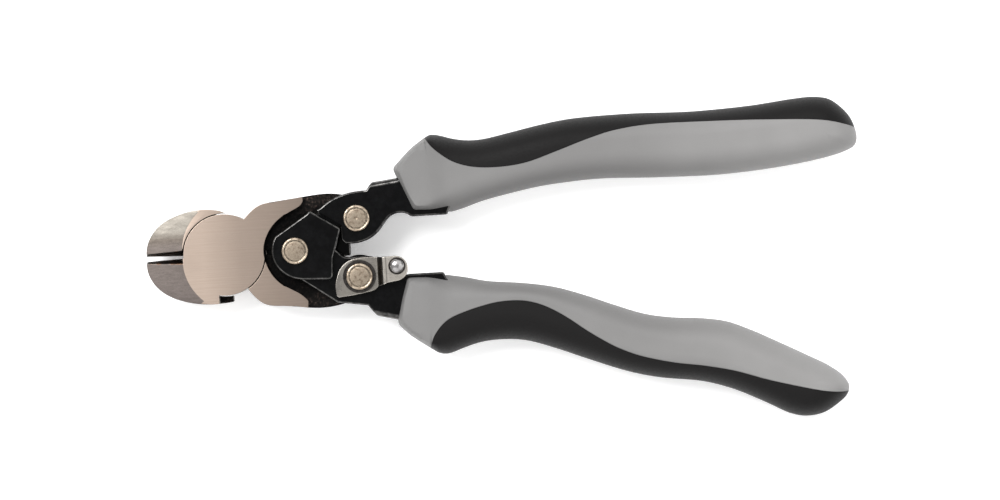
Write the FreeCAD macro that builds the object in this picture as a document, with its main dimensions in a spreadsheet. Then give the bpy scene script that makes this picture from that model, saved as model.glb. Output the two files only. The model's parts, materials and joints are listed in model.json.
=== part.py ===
import FreeCAD, Part
import math
import os
import Sketcher
from FreeCAD import Placement, Rotation, Vector

# Compound-leverage diagonal cutting pliers, in millimetres.
#
# Every outline is drawn in the plane of the tool, about the axis of the main pivot: +X runs to
# the handles, +Y to the upper handle, and height is counted from the middle plane of the head.
# The finished pieces are then lifted by half the head's thickness, so that the part's origin
# is on the pivot axis, at the back face of the head.

SIZES = (
    ("head_thickness", "11.0", "jaws, across the flats"),
    ("lap_gap", "0.06", "between the two half-lapped discs"),
    ("disc_radius", "11.6", "half-lapped disc of each jaw"),
    ("lap_clearance", "0.25", "round the edge of each disc"),
    ("blade_angle", "1.85", "cutting edge to the centre line, degrees"),
    ("blade_grind_slope", "0.23", "fall of the ground blade faces"),
    ("bevel_width", "1.45", "ground strip beside each cutting edge"),
    ("tail_thickness", "7.0", "jaw tails, between the handle ears"),
    ("tail_eye_radius", "6.2", "round end of each jaw tail"),
    ("center_pivot_x", "20.3", "handle to handle pivot"),
    ("link_pivot_x", "38.2", "jaw tail to handle pivots"),
    ("link_pivot_y", "8.3", "jaw tail to handle pivots, each side"),
    ("center_relief_radius", "6.4", "room in the tails for the center spring"),
    ("sheet_thickness", "2.0", "handle channel sheet"),
    ("inner_ear_height", "3.7", "inner face of the ears"),
    ("outer_ear_height", "5.9", "inner face of the joggled plates"),
    ("joggle_run", "2.2", "sideways run of the joggle"),
    ("handle_nose_radius", "6.2", "inner ears round the center pivot"),
    ("rivet_radius", "2.5", "shanks"),
    ("rivet_head_radius", "3.8", "formed heads"),
    ("rivet_head_height", "1.0", "formed heads"),
    ("running_clearance", "0.05", "radial, pivots"),
    ("seat_gap", "0.05", "under heads and washers that another piece turns against"),
    ("open_pivot_clearance", "0.25", "radial, upper plates on the center rivet"),
    ("main_pin_radius", "4.0", "jaw pivot pin"),
    ("main_pin_head_radius", "5.6", "countersunk end"),
    ("main_pin_head_depth", "1.6", "countersunk end"),
    ("main_pin_depth", "3.4", "reach of the pin into the front disc"),
    ("spacer_radius", "3.4", "sleeve on the center rivet"),
    ("spacer_length", "7.3", "sleeve on the center rivet"),
    ("spring_radius", "4.2", "middle of the wire"),
    ("spring_wire_radius", "0.5", "torsion spring"),
    ("spring_pitch", "1.2", "torsion spring"),
    ("spring_turns", "4.5889", "torsion spring"),
    ("spring_leg_length", "9.0", "torsion spring"),
    ("latch_height", "5.9", "underside of the latch plate"),
    ("latch_thickness", "1.5", "latch plate and tab"),
    ("latch_rise", "1.5", "step up from plate to tab"),
    ("washer_radius", "4.7", "friction washer on the latch"),
    ("washer_thickness", "0.4", "friction washer on the latch"),
    ("stud_radius", "1.9", "thumb stud on the latch tab"),
    ("stud_height", "0.9", "thumb stud on the latch tab"),
    ("grip_thickness", "19.2", "grips, across the flats"),
    ("grip_edge_radius", "4.0", "rounding of the grips"),
)

doc = FreeCAD.newDocument("compound_cutter")
sheet = doc.addObject("Spreadsheet::Sheet", "Sizes")
for row, (alias, value, note) in enumerate(SIZES, start=1):
    sheet.set(f"A{row}", note)
    sheet.set(f"B{row}", value)
    sheet.setAlias(f"B{row}", alias)
doc.recompute()


def size(alias):
    """The value of a named cell."""
    return float(sheet.get(alias))


FRONT = 1
REAR = -1
HEAD_HALF = size("head_thickness") / 2
TAIL_HALF = size("tail_thickness") / 2
EAR_INNER = size("inner_ear_height")
EAR_OUTER = EAR_INNER + size("sheet_thickness")
PLATE_INNER = size("outer_ear_height")
PLATE_OUTER = PLATE_INNER + size("sheet_thickness")
LATCH_TOP = size("latch_height") + size("latch_thickness")
WASHER_BASE = LATCH_TOP + size("seat_gap")
WASHER_TOP = WASHER_BASE + size("washer_thickness")
CENTER_HEAD = PLATE_OUTER + size("seat_gap")
CENTER_PIVOT = (size("center_pivot_x"), 0.0)
UPPER_LINK = (size("link_pivot_x"), size("link_pivot_y"))
LOWER_LINK = (size("link_pivot_x"), -size("link_pivot_y"))
STUD_CENTRE = (49.0, -5.9)
LIFT = Placement(Vector(0, 0, HEAD_HALF), Rotation())
CUT_DEPTH = 30.0    # a cut that passes right through the tool


def around(centre, radius, degrees):
    """The point at this angle and radius round a centre."""
    angle = math.radians(degrees)
    return (centre[0] + radius * math.cos(angle), centre[1] + radius * math.sin(angle))


class Outline:
    """A closed outline, drawn stretch by stretch; flip -1 turns it over about the X axis."""

    def __init__(self, start, flip=1):
        self.flip = flip
        self.first = self.place(start)
        self.last = self.first
        self.curves = []

    def place(self, point):
        return Vector(point[0], self.flip * point[1], 0)

    def line(self, *points):
        for point in points:
            end = self.place(point)
            self.curves.append(Part.LineSegment(self.last, end))
            self.last = end
        return self

    def arc(self, middle, end):
        end = self.place(end)
        self.curves.append(Part.Arc(self.last, self.place(middle), end))
        self.last = end
        return self

    def smooth(self, *points):
        places = [self.place(point) for point in points]
        curve = Part.BSplineCurve()
        curve.interpolate([self.last] + places)
        self.curves.append(curve)
        self.last = places[-1]
        return self

    def close(self):
        if self.last.distanceToPoint(self.first) > 1e-6:
            self.curves.append(Part.LineSegment(self.last, self.first))
        return self.curves


def new_body(label):
    body = doc.addObject("PartDesign::Body", label)
    body.Label = label
    return body


def new_sketch(body, curves, plane="XY_Plane", offset=None):
    """A sketch on one of the body's own origin planes, moved by the offset within it."""
    sketch = body.newObject("Sketcher::SketchObject", body.Label + "_sketch")
    origin_plane = next(item for item in body.Origin.OriginFeatures if item.Role == plane)
    sketch.AttachmentSupport = [(origin_plane, "")]
    sketch.MapMode = "FlatFace"
    if offset:
        sketch.AttachmentOffset = offset
    sketch.addGeometry(curves, False)
    return sketch


def at_height(height):
    return Placement(Vector(0, 0, height), Rotation())


def circle_sketch(body, centres, radius_formula, height=0.0):
    """Circles of one radius, each bound to the sheet."""
    circles = [Part.Circle(Vector(x, y, 0), Vector(0, 0, 1), 1.0) for x, y in centres]
    sketch = new_sketch(body, circles, offset=at_height(height))
    for index in range(len(circles)):
        constraint = sketch.addConstraint(Sketcher.Constraint("Radius", index, 1.0))
        sketch.setExpression(f"Constraints[{constraint}]", radius_formula)
    return sketch


def add_pad(body, sketch, length_formula, symmetric=False, backward=False):
    pad = body.newObject("PartDesign::Pad", body.Label + "_pad")
    pad.Profile = sketch
    pad.SideType = "Symmetric" if symmetric else "One side"
    pad.Reversed = backward
    pad.setExpression("Length", length_formula)
    doc.recompute()
    return pad


def add_cut(body, sketch, length_formula, symmetric=False, upward=False):
    """A pocket, which must take something away."""
    before = body.Shape.Volume
    pocket = body.newObject("PartDesign::Pocket", body.Label + "_pocket")
    pocket.Profile = sketch
    pocket.SideType = "Symmetric" if symmetric else "One side"
    pocket.Reversed = upward
    pocket.setExpression("Length", length_formula)
    doc.recompute()
    if body.Shape.Volume > before - 1e-6:
        raise RuntimeError(pocket.Name + " removed nothing")
    return pocket


def drill(body, centre, radius_formula):
    """A round hole right through the body."""
    add_cut(body, circle_sketch(body, [centre], radius_formula), str(CUT_DEPTH), symmetric=True)


# ---------------------------------------------------------------- jaws

RECESS_END = 60.0     # past the tails
RECESS_SIDE = 18.0    # past the tails' backs


def recess_outline():
    """The sunk area of both tails, where the handle ears lie; its left side is one curve."""
    edge = Outline((RECESS_END, RECESS_SIDE))
    edge.line((22.9, RECESS_SIDE), (23.2, 14.1))
    edge.smooth((22.4, 12.9), (20.9, 12.0), (15.4, 8.7), (12.5, 4.9), (11.3, 0.6),
                (12.1, -3.9), (15.6, -9.0), (21.5, -12.7), (23.2, -14.5))
    edge.line((22.9, -RECESS_SIDE))
    edge.line((RECESS_END, -RECESS_SIDE))
    return edge.close()


def build_jaw(label, flip, blade_back, tail_back):
    """One jaw: blade below, half disc, and tail above; flip -1 turns the whole jaw over."""
    jaw = new_body(label)
    disc = size("disc_radius")
    tip_radius = 22.2
    neck_angle = 58.0
    gap_angle = 2.4
    relief_end = 172.0
    blade_root_angle = 180.0 + size("blade_angle")
    disc_top = 110.0
    blade_end_angle = -81.0
    grind_axis = (3.5, -1.0)
    grind_radius = 15.4
    grind_sweep = 190.0

    profile = Outline(around((0, 0), tip_radius, blade_root_angle), flip)
    profile.line(around((0, 0), disc, blade_root_angle))
    profile.arc(around((0, 0), disc, disc_top), around((0, 0), disc, neck_angle))
    profile.smooth(*tail_back, around(UPPER_LINK, size("tail_eye_radius"), 100.0))
    profile.arc(around(UPPER_LINK, size("tail_eye_radius"), 0.0),
                around(UPPER_LINK, size("tail_eye_radius"), -115.0))
    profile.line(around(CENTER_PIVOT, size("center_relief_radius"), 45.0))
    profile.arc(around(CENTER_PIVOT, size("center_relief_radius"), 90.0),
                around(CENTER_PIVOT, size("center_relief_radius"), relief_end))
    profile.line(around((0, 0), disc, gap_angle))
    profile.arc(around((0, 0), disc, -45.0), around((0, 0), disc, blade_end_angle))
    profile.line(blade_back[0])
    profile.smooth(*blade_back[1:])
    add_pad(jaw, new_sketch(jaw, profile.close()), "Sizes.head_thickness", symmetric=True)

    # The blade's faces fall away from the disc on a cone, front and rear alike.
    far_radius = 40.0
    for side in (FRONT, REAR):
        fall = (far_radius - grind_radius) * size("blade_grind_slope")
        wedge = Outline((-grind_radius, side * HEAD_HALF))
        wedge.line((-far_radius, side * HEAD_HALF))
        wedge.line((-far_radius, side * (HEAD_HALF - fall)))
        axis_place = Placement(Vector(grind_axis[0], 0, -flip * grind_axis[1]), Rotation())
        sketch = new_sketch(jaw, wedge.close(), "XZ_Plane", axis_place)
        before = jaw.Shape.Volume
        groove = jaw.newObject("PartDesign::Groove", label + "_grind")
        groove.Profile = sketch
        groove.ReferenceAxis = (sketch, ["V_Axis"])
        groove.Midplane = True
        groove.Angle = grind_sweep
        doc.recompute()
        if jaw.Shape.Volume > before - 1e-6:
            raise RuntimeError(groove.Name + " removed nothing")

    # On the disc's own side the blade's heel stops short, and leaves a step.
    heel_x = -2.0
    heel_end = 5.0
    heel_angle = -180.0 + math.degrees(math.acos(-heel_x / disc))
    heel = Outline((heel_x, -RECESS_SIDE), flip)
    heel.line(around((0, 0), disc, heel_angle))
    heel.arc(around((0, 0), disc, -85.0), around((0, 0), disc, -65.0))
    heel.line((heel_end, -RECESS_SIDE))
    step = new_sketch(jaw, heel.close(), offset=at_height(flip * size("lap_gap") / 2))
    add_cut(jaw, step, "Sizes.head_thickness", upward=(flip == FRONT))

    # The strips beside the cutting edge slope to an edge in the middle plane.
    edge_land = 0.15
    strip_length = 12.0
    overshoot = 0.5
    edge_turn = Rotation(Vector(0, 0, 1), flip * size("blade_angle"))
    for side in (FRONT, REAR):
        strip = Outline((overshoot, side * edge_land))
        strip.line((-size("bevel_width"), side * HEAD_HALF))
        strip.line((overshoot, side * HEAD_HALF))
        curves = [Part.LineSegment(Vector(flip * line.StartPoint.x, line.StartPoint.y, 0),
                                   Vector(flip * line.EndPoint.x, line.EndPoint.y, 0))
                  for line in strip.close()]
        root = Vector(-disc - size("lap_clearance"), 0, 0)
        start = Placement(edge_turn.multVec(root), edge_turn)
        sketch = new_sketch(jaw, curves)
        sketch.AttachmentOffset = start * Placement(Vector(), Rotation(Vector(1, 1, 1), 120.0))
        add_cut(jaw, sketch, str(strip_length))

    # The other jaw's disc turns in this half-lap.
    lap = circle_sketch(jaw, [(0, 0)], "Sizes.disc_radius + Sizes.lap_clearance",
                        flip * size("lap_gap") / 2)
    add_cut(jaw, lap, "Sizes.head_thickness", upward=(flip == REAR))

    for side in (FRONT, REAR):
        sunk = new_sketch(jaw, recess_outline(), offset=at_height(side * TAIL_HALF))
        add_cut(jaw, sunk, "Sizes.head_thickness", upward=(side == FRONT))
    link = (UPPER_LINK[0], flip * UPPER_LINK[1])
    drill(jaw, link, "Sizes.rivet_radius + Sizes.running_clearance")
    return jaw


front_jaw = build_jaw(
    "jaw_front", FRONT,
    blade_back=((1.8, -13.5), (-6.0, -13.8), (-12.5, -12.5), (-18.2, -9.6), (-21.3, -5.8),
                (-22.2, -0.72)),
    tail_back=((8.1, 11.8), (10.4, 13.4), (14.5, 14.3), (22.6, 15.2), (30.0, 15.8)))
rear_jaw = build_jaw(
    "jaw_rear", REAR,
    blade_back=((-0.8, -12.7), (-6.1, -13.2), (-13.0, -11.9), (-18.4, -9.0), (-21.3, -5.2),
                (-22.2, -0.72)),
    tail_back=((8.1, 12.4), (10.6, 14.5), (16.5, 15.5), (26.0, 16.6), (31.5, 16.2)))

# The pin stands in a blind hole of the front disc and turns in the rear one.
blind = circle_sketch(front_jaw, [(0, 0)], "Sizes.main_pin_radius")
add_cut(front_jaw, blind, "Sizes.main_pin_depth", upward=True)
drill(rear_jaw, (0, 0), "Sizes.main_pin_radius + Sizes.running_clearance")


def pin_profile(head_extra, shank_extra, top):
    """Half section of the countersunk pin, for the pin itself and for its seat."""
    base = -HEAD_HALF
    head = size("main_pin_head_radius") + head_extra
    shank = size("main_pin_radius") + shank_extra
    section = Outline((0, base))
    section.line((head, base), (shank, base + size("main_pin_head_depth")), (shank, top), (0, top))
    return section.close()


def revolve(body, curves, centre):
    """A solid of revolution about the upright axis through a pivot."""
    place = Placement(Vector(centre[0], 0, -centre[1]), Rotation())
    sketch = new_sketch(body, curves, "XZ_Plane", place)
    turned = body.newObject("PartDesign::Revolution", body.Label + "_turned")
    turned.Profile = sketch
    turned.ReferenceAxis = (sketch, ["V_Axis"])
    turned.Angle = 360.0
    doc.recompute()
    return turned


seat_sketch = new_sketch(rear_jaw, pin_profile(size("running_clearance"),
                                               size("running_clearance"), 0.0), "XZ_Plane")
seat = rear_jaw.newObject("PartDesign::Groove", "jaw_rear_seat")
seat.Profile = seat_sketch
seat.ReferenceAxis = (seat_sketch, ["V_Axis"])
seat.Angle = 360.0
main_pin = new_body("main_pivot_pin")
revolve(main_pin, pin_profile(0.0, 0.0, size("main_pin_depth")), (0, 0))

# ---------------------------------------------------------------- rivets and small turned pieces


def build_rivet(label, centre, low, high, dimple=0.0):
    """A rivet through the tool, with a formed head below `low` and above `high`."""
    rivet = new_body(label)
    shank = size("rivet_radius")
    head = size("rivet_head_radius")
    height = size("rivet_head_height")
    rim = 0.45 * height
    crown = 0.12 * height
    section = Outline((0, low - height))
    section.line((head - rim, low - height + crown))
    section.arc((head - 0.3 * rim, low - height + crown + 0.3 * rim),
                (head, low - height + crown + rim))
    section.line((head, low), (shank, low), (shank, high), (head, high))
    section.line((head, high + height - crown - rim))
    section.arc((head - 0.3 * rim, high + height - crown - 0.3 * rim),
                (head - rim, high + height - crown))
    section.line((dimple, high + height))
    if dimple:
        section.line((0, high + height - dimple))
    revolve(rivet, section.close(), centre)
    return rivet


build_rivet("center_rivet", CENTER_PIVOT, -CENTER_HEAD, CENTER_HEAD)
build_rivet("upper_link_rivet", UPPER_LINK, -EAR_OUTER, EAR_OUTER, dimple=0.25)
build_rivet("lower_link_rivet", LOWER_LINK, -EAR_OUTER, WASHER_TOP)


def build_ring(label, centre, inner_formula, outer_formula, base, length_formula):
    """A plain sleeve or washer."""
    ring = new_body(label)
    add_pad(ring, circle_sketch(ring, [centre], outer_formula, base), length_formula)
    drill(ring, centre, inner_formula)
    return ring


build_ring("center_spacer", CENTER_PIVOT, "Sizes.rivet_radius", "Sizes.spacer_radius",
           -size("spacer_length") / 2, "Sizes.spacer_length")
build_ring("latch_washer", LOWER_LINK, "Sizes.rivet_radius", "Sizes.washer_radius",
           WASHER_BASE, "Sizes.washer_thickness")


def build_spring():
    """Torsion spring round the center sleeve, one leg towards each jaw tail."""
    spring = new_body("return_spring")
    turns = size("spring_turns")
    low = -turns * size("spring_pitch") / 2
    start_angle = 74.0
    wire = Part.Circle(Vector(size("spring_radius"), low, 0), Vector(0, 0, 1), 1.0)
    turn = Rotation(Vector(0, 0, 1), start_angle)
    standing = Placement(Vector(*CENTER_PIVOT, 0), turn) * Placement(
        Vector(), Rotation(Vector(1, 0, 0), 90.0))
    profile = new_sketch(spring, [wire], offset=standing)
    radius = profile.addConstraint(Sketcher.Constraint("Radius", 0, 1.0))
    profile.setExpression(f"Constraints[{radius}]", "Sizes.spring_wire_radius")
    coil = spring.newObject("PartDesign::AdditiveHelix", "return_spring_coil")
    coil.Profile = profile
    coil.ReferenceAxis = (profile, ["V_Axis"])
    coil.Mode = "pitch-turns-angle"
    coil.setExpression("Pitch", "Sizes.spring_pitch")
    coil.setExpression("Turns", "Sizes.spring_turns")
    doc.recompute()
    end_angle = start_angle + 360.0 * turns
    for angle, height, towards in ((start_angle, low, -1), (end_angle, -low, 1)):
        foot = around(CENTER_PIVOT, size("spring_radius"), angle)
        heading = Rotation(Vector(0, 0, 1), angle + 90.0 * towards)
        place = Placement(Vector(foot[0], foot[1], height), heading)
        ring = Part.Circle(Vector(), Vector(0, 0, 1), 1.0)
        leg = new_sketch(spring, [ring],
                         offset=place * Placement(Vector(), Rotation(Vector(0, 1, 0), 90.0)))
        radius = leg.addConstraint(Sketcher.Constraint("Radius", 0, 1.0))
        leg.setExpression(f"Constraints[{radius}]", "Sizes.spring_wire_radius")
        add_pad(spring, leg, "Sizes.spring_leg_length")
    return spring


build_spring()

# ---------------------------------------------------------------- handle frames

TANG_END = 142.0      # how far the channels reach into the grips


def upper_frame_outline():
    """Ears at the upper link, then the channel's flanges far into the grip."""
    edge = Outline((33.4, 6.0))
    edge.line((26.6, 11.1), (28.1, 11.8))
    edge.smooth((31.0, 13.8), (34.4, 15.2), (41.4, 16.1))
    edge.line((43.0, 18.3), (50.1, 19.1), (58.0, 22.2), (78.0, 24.6), (100.0, 28.6))
    edge.line((TANG_END, 29.2), (TANG_END, 18.9), (100.0, 18.8), (78.0, 15.4), (66.0, 12.2))
    edge.line((64.0, 7.9), (53.7, 7.9))
    edge.smooth((50.7, 9.2), (47.8, 8.4), (45.4, 5.7), (42.4, 2.8), (38.3, 1.3), (34.6, 1.3))
    edge.line((33.5, 2.4))
    return edge.close()


def upper_channel_outline():
    """Room inside the upper channel; the web is left along its outer side."""
    edge = Outline((10.0, -6.0))
    edge.line((10.0, 32.0), (43.1, 32.0), (43.1, 16.6), (50.4, 17.1), (58.4, 20.2), (78.3, 22.6))
    edge.line((100.3, 26.6), (TANG_END + 3.0, 27.2), (TANG_END + 3.0, -6.0))
    return edge.close()


def center_plate_outline(side):
    """The joggled plate round the center pivot; the rear one reaches further each way."""
    nose = 13.65 if side == FRONT else 11.4
    edge = Outline((25.0, 11.2))
    edge.line((24.2, 10.3), (14.8, 4.3))
    edge.arc((nose, 0.3), (14.6, -3.7))
    edge.smooth((17.6, -6.8), (22.3, -8.3))
    edge.line((29.4, -8.6))
    edge.arc((30.4, -8.2), (30.7, -7.2))
    edge.line((31.0, -2.6))
    if side == REAR:
        edge.line((35.8, -2.1), (35.8, 2.2))
    edge.line((33.6, 5.6))
    return edge.close()


def joggle_outline():
    """The bent strip between the inner and outer levels, where it leaves the inner one."""
    edge = Outline((28.3, 11.6))
    edge.line((26.9, 11.0), (33.4, 6.1), (34.8, 7.2))
    return edge.close()


def build_upper_frame():
    frame = new_body("upper_handle_frame")
    flanges = new_sketch(frame, upper_frame_outline())
    add_pad(frame, flanges, "2 * (Sizes.inner_ear_height + Sizes.sheet_thickness)", symmetric=True)
    room = new_sketch(frame, upper_channel_outline())
    add_cut(frame, room, "2 * Sizes.inner_ear_height", symmetric=True)
    lean = Vector(-0.605, -0.796, 0)
    rise = PLATE_OUTER - EAR_INNER
    for side in (FRONT, REAR):
        strip = new_sketch(frame, joggle_outline(), offset=at_height(side * EAR_INNER))
        bend = add_pad(frame, strip, "Sizes.outer_ear_height + Sizes.sheet_thickness"
                                     " - Sizes.inner_ear_height")
        bend.UseCustomVector = True
        bend.Direction = lean * size("joggle_run") + Vector(0, 0, side * rise)
        bend.AlongSketchNormal = True
        doc.recompute()
        plate = new_sketch(frame, center_plate_outline(side), offset=at_height(side * PLATE_INNER))
        add_pad(frame, plate, "Sizes.sheet_thickness", backward=(side == REAR))
    drill(frame, UPPER_LINK, "Sizes.rivet_radius")
    drill(frame, CENTER_PIVOT, "Sizes.rivet_radius + Sizes.open_pivot_clearance")
    return frame


def lower_frame_outline():
    """Ears round the center pivot and the lower link, then flanges far into the grip."""
    nose = size("handle_nose_radius")
    edge = Outline(around(CENTER_PIVOT, nose, 75.0))
    edge.line((28.0, 3.0), (32.7, -1.1))
    edge.smooth((34.4, -2.5), (37.0, -2.6), (40.6, -2.6), (44.3, -4.0), (46.6, -6.7), (49.1, -9.2),
                (51.7, -8.4))
    edge.line((62.0, -8.4), (64.0, -12.0), (85.0, -16.6), (106.0, -22.6), (TANG_END, -31.0))
    edge.line((TANG_END - 2.0, -42.0), (120.0, -38.0), (100.0, -31.6), (80.0, -25.2))
    edge.line((58.0, -25.0), (49.0, -21.4), (42.5, -19.8), (40.1, -16.7), (31.6, -15.4))
    edge.line(around(CENTER_PIVOT, nose, 240.0))
    edge.arc(around(CENTER_PIVOT, nose, 170.0), around(CENTER_PIVOT, nose, 75.0))
    return edge.close()


def lower_channel_outline():
    """Room inside the lower channel; the web is left along its outer side."""
    edge = Outline((10.0, 10.0))
    edge.line((10.0, -34.0), (42.6, -34.0), (42.6, -17.9), (49.2, -19.4), (58.2, -23.0))
    edge.line((80.3, -23.2), (100.6, -29.7), (120.4, -36.0), (TANG_END + 3.0, -41.0))
    edge.line((TANG_END + 3.0, 10.0))
    return edge.close()


def build_lower_frame():
    frame = new_body("lower_handle_frame")
    flanges = new_sketch(frame, lower_frame_outline())
    add_pad(frame, flanges, "2 * (Sizes.inner_ear_height + Sizes.sheet_thickness)", symmetric=True)
    room = new_sketch(frame, lower_channel_outline())
    add_cut(frame, room, "2 * Sizes.inner_ear_height", symmetric=True)
    drill(frame, LOWER_LINK, "Sizes.rivet_radius")
    drill(frame, CENTER_PIVOT, "Sizes.rivet_radius")
    return frame


upper_frame = build_upper_frame()
lower_frame = build_lower_frame()

# ---------------------------------------------------------------- latch


def build_latch():
    """A flat cam plate on the lower link rivet, stepped up to a thumb tab."""
    latch = new_body("latch_lever")
    height = size("latch_height")
    cam = Outline((42.6, -3.1))
    cam.smooth((38.4, -3.0), (35.1, -3.8), (32.9, -5.6), (31.6, -8.4), (31.1, -11.0), (31.7, -14.0))
    cam.line((36.2, -13.6), (42.4, -12.4), (43.4, -11.6))
    add_pad(latch, new_sketch(latch, cam.close(), offset=at_height(height)),
            "Sizes.latch_thickness")
    step_run = 1.2
    foot = Outline((42.3, -3.1))
    foot.line((43.6, -3.2), (44.5, -11.2), (43.1, -11.8))
    step = add_pad(latch, new_sketch(latch, foot.close(), offset=at_height(height)),
                   "Sizes.latch_thickness + Sizes.latch_rise")
    step.UseCustomVector = True
    step.Direction = Vector(step_run, 0, size("latch_thickness") + size("latch_rise"))
    doc.recompute()
    tab = Outline((44.2, -3.3))
    tab.line((48.3, -3.0))
    tab.arc((52.2, -6.6), (48.6, -10.2))
    tab.line((45.2, -11.0))
    tab_base = height + size("latch_rise")
    add_pad(latch, new_sketch(latch, tab.close(), offset=at_height(tab_base)),
            "Sizes.latch_thickness")
    drill(latch, LOWER_LINK, "Sizes.rivet_radius + Sizes.running_clearance")
    return latch


def build_stud():
    """Polished dome riveted into the latch tab."""
    stud = new_body("latch_thumb_stud")
    radius = size("stud_radius")
    base = LATCH_TOP + size("latch_rise")
    wall = 0.25 * size("stud_height")
    top = base + size("stud_height")
    dome_radius = 0.71 * radius
    dome_top = base + wall + 0.72 * (top - base - wall)
    crown = 0.15 * radius
    section = Outline((0, base))
    section.line((radius, base), (radius, base + wall))
    section.arc((dome_radius, dome_top), (crown, top))
    revolve(stud, section.close(), STUD_CENTRE)
    return stud


build_latch()
build_stud()

# ---------------------------------------------------------------- grips


def upper_grip_outline():
    edge = Outline((53.3, 9.5))
    edge.line((49.7, 19.6))
    edge.smooth((50.3, 22.4), (53.4, 26.2), (57.0, 29.5), (61.0, 30.9), (66.2, 29.6), (72.5, 28.7),
                (83.3, 30.3), (100.6, 33.3), (117.7, 33.7), (134.8, 33.3), (152.0, 34.0),
                (168.0, 35.5), (176.4, 33.0), (181.7, 26.2), (179.3, 20.3), (172.4, 17.9),
                (159.5, 16.0), (142.3, 14.8), (125.2, 15.0), (108.1, 15.6), (90.9, 14.3),
                (78.0, 11.8), (70.0, 10.0), (62.0, 9.5))
    return edge.close()


def upper_split_outline():
    """Everything outside the wavy line between the grey core and the dark overlay."""
    edge = Outline((56.0, 45.0))
    edge.line((57.2, 34.0))
    edge.smooth((59.1, 30.3), (61.6, 26.2), (66.3, 22.9), (72.0, 20.9), (78.0, 20.4), (85.0, 20.9),
                (93.0, 22.9), (105.0, 27.0), (116.0, 29.6), (130.4, 30.3), (156.0, 29.6),
                (173.0, 28.4), (186.0, 24.2))
    edge.line((192.0, 45.0))
    return edge.close()


def lower_grip_outline():
    edge = Outline((47.9, -20.7))
    edge.line((51.7, -9.1), (63.9, -9.1))
    edge.smooth((72.4, -11.2), (85.1, -12.9), (93.6, -14.5), (106.1, -19.0), (118.7, -23.7),
                (131.4, -25.5), (139.9, -26.6), (148.3, -29.7), (160.7, -36.4), (169.1, -40.5),
                (174.6, -45.0), (175.1, -50.2), (170.0, -54.3), (162.5, -55.3), (151.4, -50.7),
                (138.8, -45.3), (130.4, -43.2), (113.5, -39.9), (96.7, -33.5), (88.4, -30.2),
                (79.9, -28.7), (71.3, -29.1), (64.5, -31.2), (60.0, -31.5), (54.3, -27.9),
                (50.0, -23.9), (47.9, -20.7))
    return edge.close()


def lower_split_outline():
    """Everything outside the wavy line on the lower grip."""
    edge = Outline((52.0, -66.0))
    edge.line((56.4, -34.0))
    edge.smooth((57.4, -29.4), (59.4, -25.0), (63.2, -21.6), (69.5, -19.4), (76.2, -17.9),
                (83.0, -17.7), (89.0, -19.0), (97.3, -23.7), (105.5, -29.9), (116.0, -35.2),
                (134.9, -39.3), (151.7, -44.0), (168.6, -48.7), (180.0, -48.9))
    edge.line((188.0, -66.0))
    return edge.close()


def build_grip(name, grip_curves, split_curves, frame, frame_curves):
    """A grip moulded over and into its handle channel: a core, and an outer overlay."""
    blank = new_body(name + "_grip_blank")
    pad = add_pad(blank, new_sketch(blank, grip_curves), "Sizes.grip_thickness", symmetric=True)
    flats = [f"Face{index}" for index, face in enumerate(pad.Shape.Faces, start=1)
             if face.Surface.TypeId == "Part::GeomPlane" and abs(face.normalAt(0, 0).z) > 0.99]
    rounding = blank.newObject("PartDesign::Fillet", name + "_grip_rounding")
    rounding.Base = (pad, flats)
    rounding.setExpression("Radius", "Sizes.grip_edge_radius")
    doc.recompute()
    divider = new_body(name + "_grip_divider")
    add_pad(divider, new_sketch(divider, split_curves), "Sizes.grip_thickness + 4", symmetric=True)

    def boolean(kind, label, base, tool):
        result = doc.addObject("Part::" + kind, label)
        result.Label = label
        result.Base = base
        result.Tool = tool
        doc.recompute()
        return result

    envelope = new_body(name + "_frame_envelope")
    add_pad(envelope, new_sketch(envelope, frame_curves),
            "2 * (Sizes.inner_ear_height + Sizes.sheet_thickness)", symmetric=True)
    outside = boolean("Cut", name + "_grip_outside", divider, envelope)
    boolean("Common", name + "_grip_overlay", blank, outside)
    core = boolean("Cut", name + "_grip_core_blank", blank, outside)
    boolean("Cut", name + "_grip_core", core, frame)


build_grip("upper", upper_grip_outline(), upper_split_outline(),
           upper_frame, upper_frame_outline())
build_grip("lower", lower_grip_outline(), lower_split_outline(),
           lower_frame, lower_frame_outline())

# ---------------------------------------------------------------- placing, checks and files

NODES = ("jaw_front", "jaw_rear", "main_pivot_pin", "center_rivet", "upper_link_rivet",
         "lower_link_rivet", "center_spacer", "return_spring", "upper_handle_frame",
         "lower_handle_frame", "latch_lever", "latch_thumb_stud", "latch_washer",
         "upper_grip_core", "upper_grip_overlay", "lower_grip_core", "lower_grip_overlay")

doc.recompute()
pieces = [doc.getObjectsByLabel(name)[0] for name in NODES]
failed = [item.Name for item in doc.Objects if {"Invalid", "Error"} & set(item.State)]
if failed:
    raise RuntimeError("failed features: " + ", ".join(failed))
os.makedirs("parts", exist_ok=True)
for piece in pieces:
    shape = piece.Shape.copy()
    shape.Placement = LIFT * shape.Placement
    if shape.isNull() or not shape.isValid() or len(shape.Solids) != 1:
        raise RuntimeError(f"{piece.Label} is not one valid solid: {len(shape.Solids)}")
    shape.exportStep(os.path.join("parts", piece.Label + ".step"))
    box = shape.BoundBox
    print(f"{piece.Label:22s} {shape.Volume:9.1f} mm3  x {box.XMin:7.2f} {box.XMax:7.2f}"
          f"  y {box.YMin:7.2f} {box.YMax:7.2f}  z {box.ZMin:6.2f} {box.ZMax:6.2f}")
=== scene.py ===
import json
import math

import bmesh
import bpy
import numpy as np
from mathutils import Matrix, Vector
from mathutils.bvhtree import BVHTree


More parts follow.
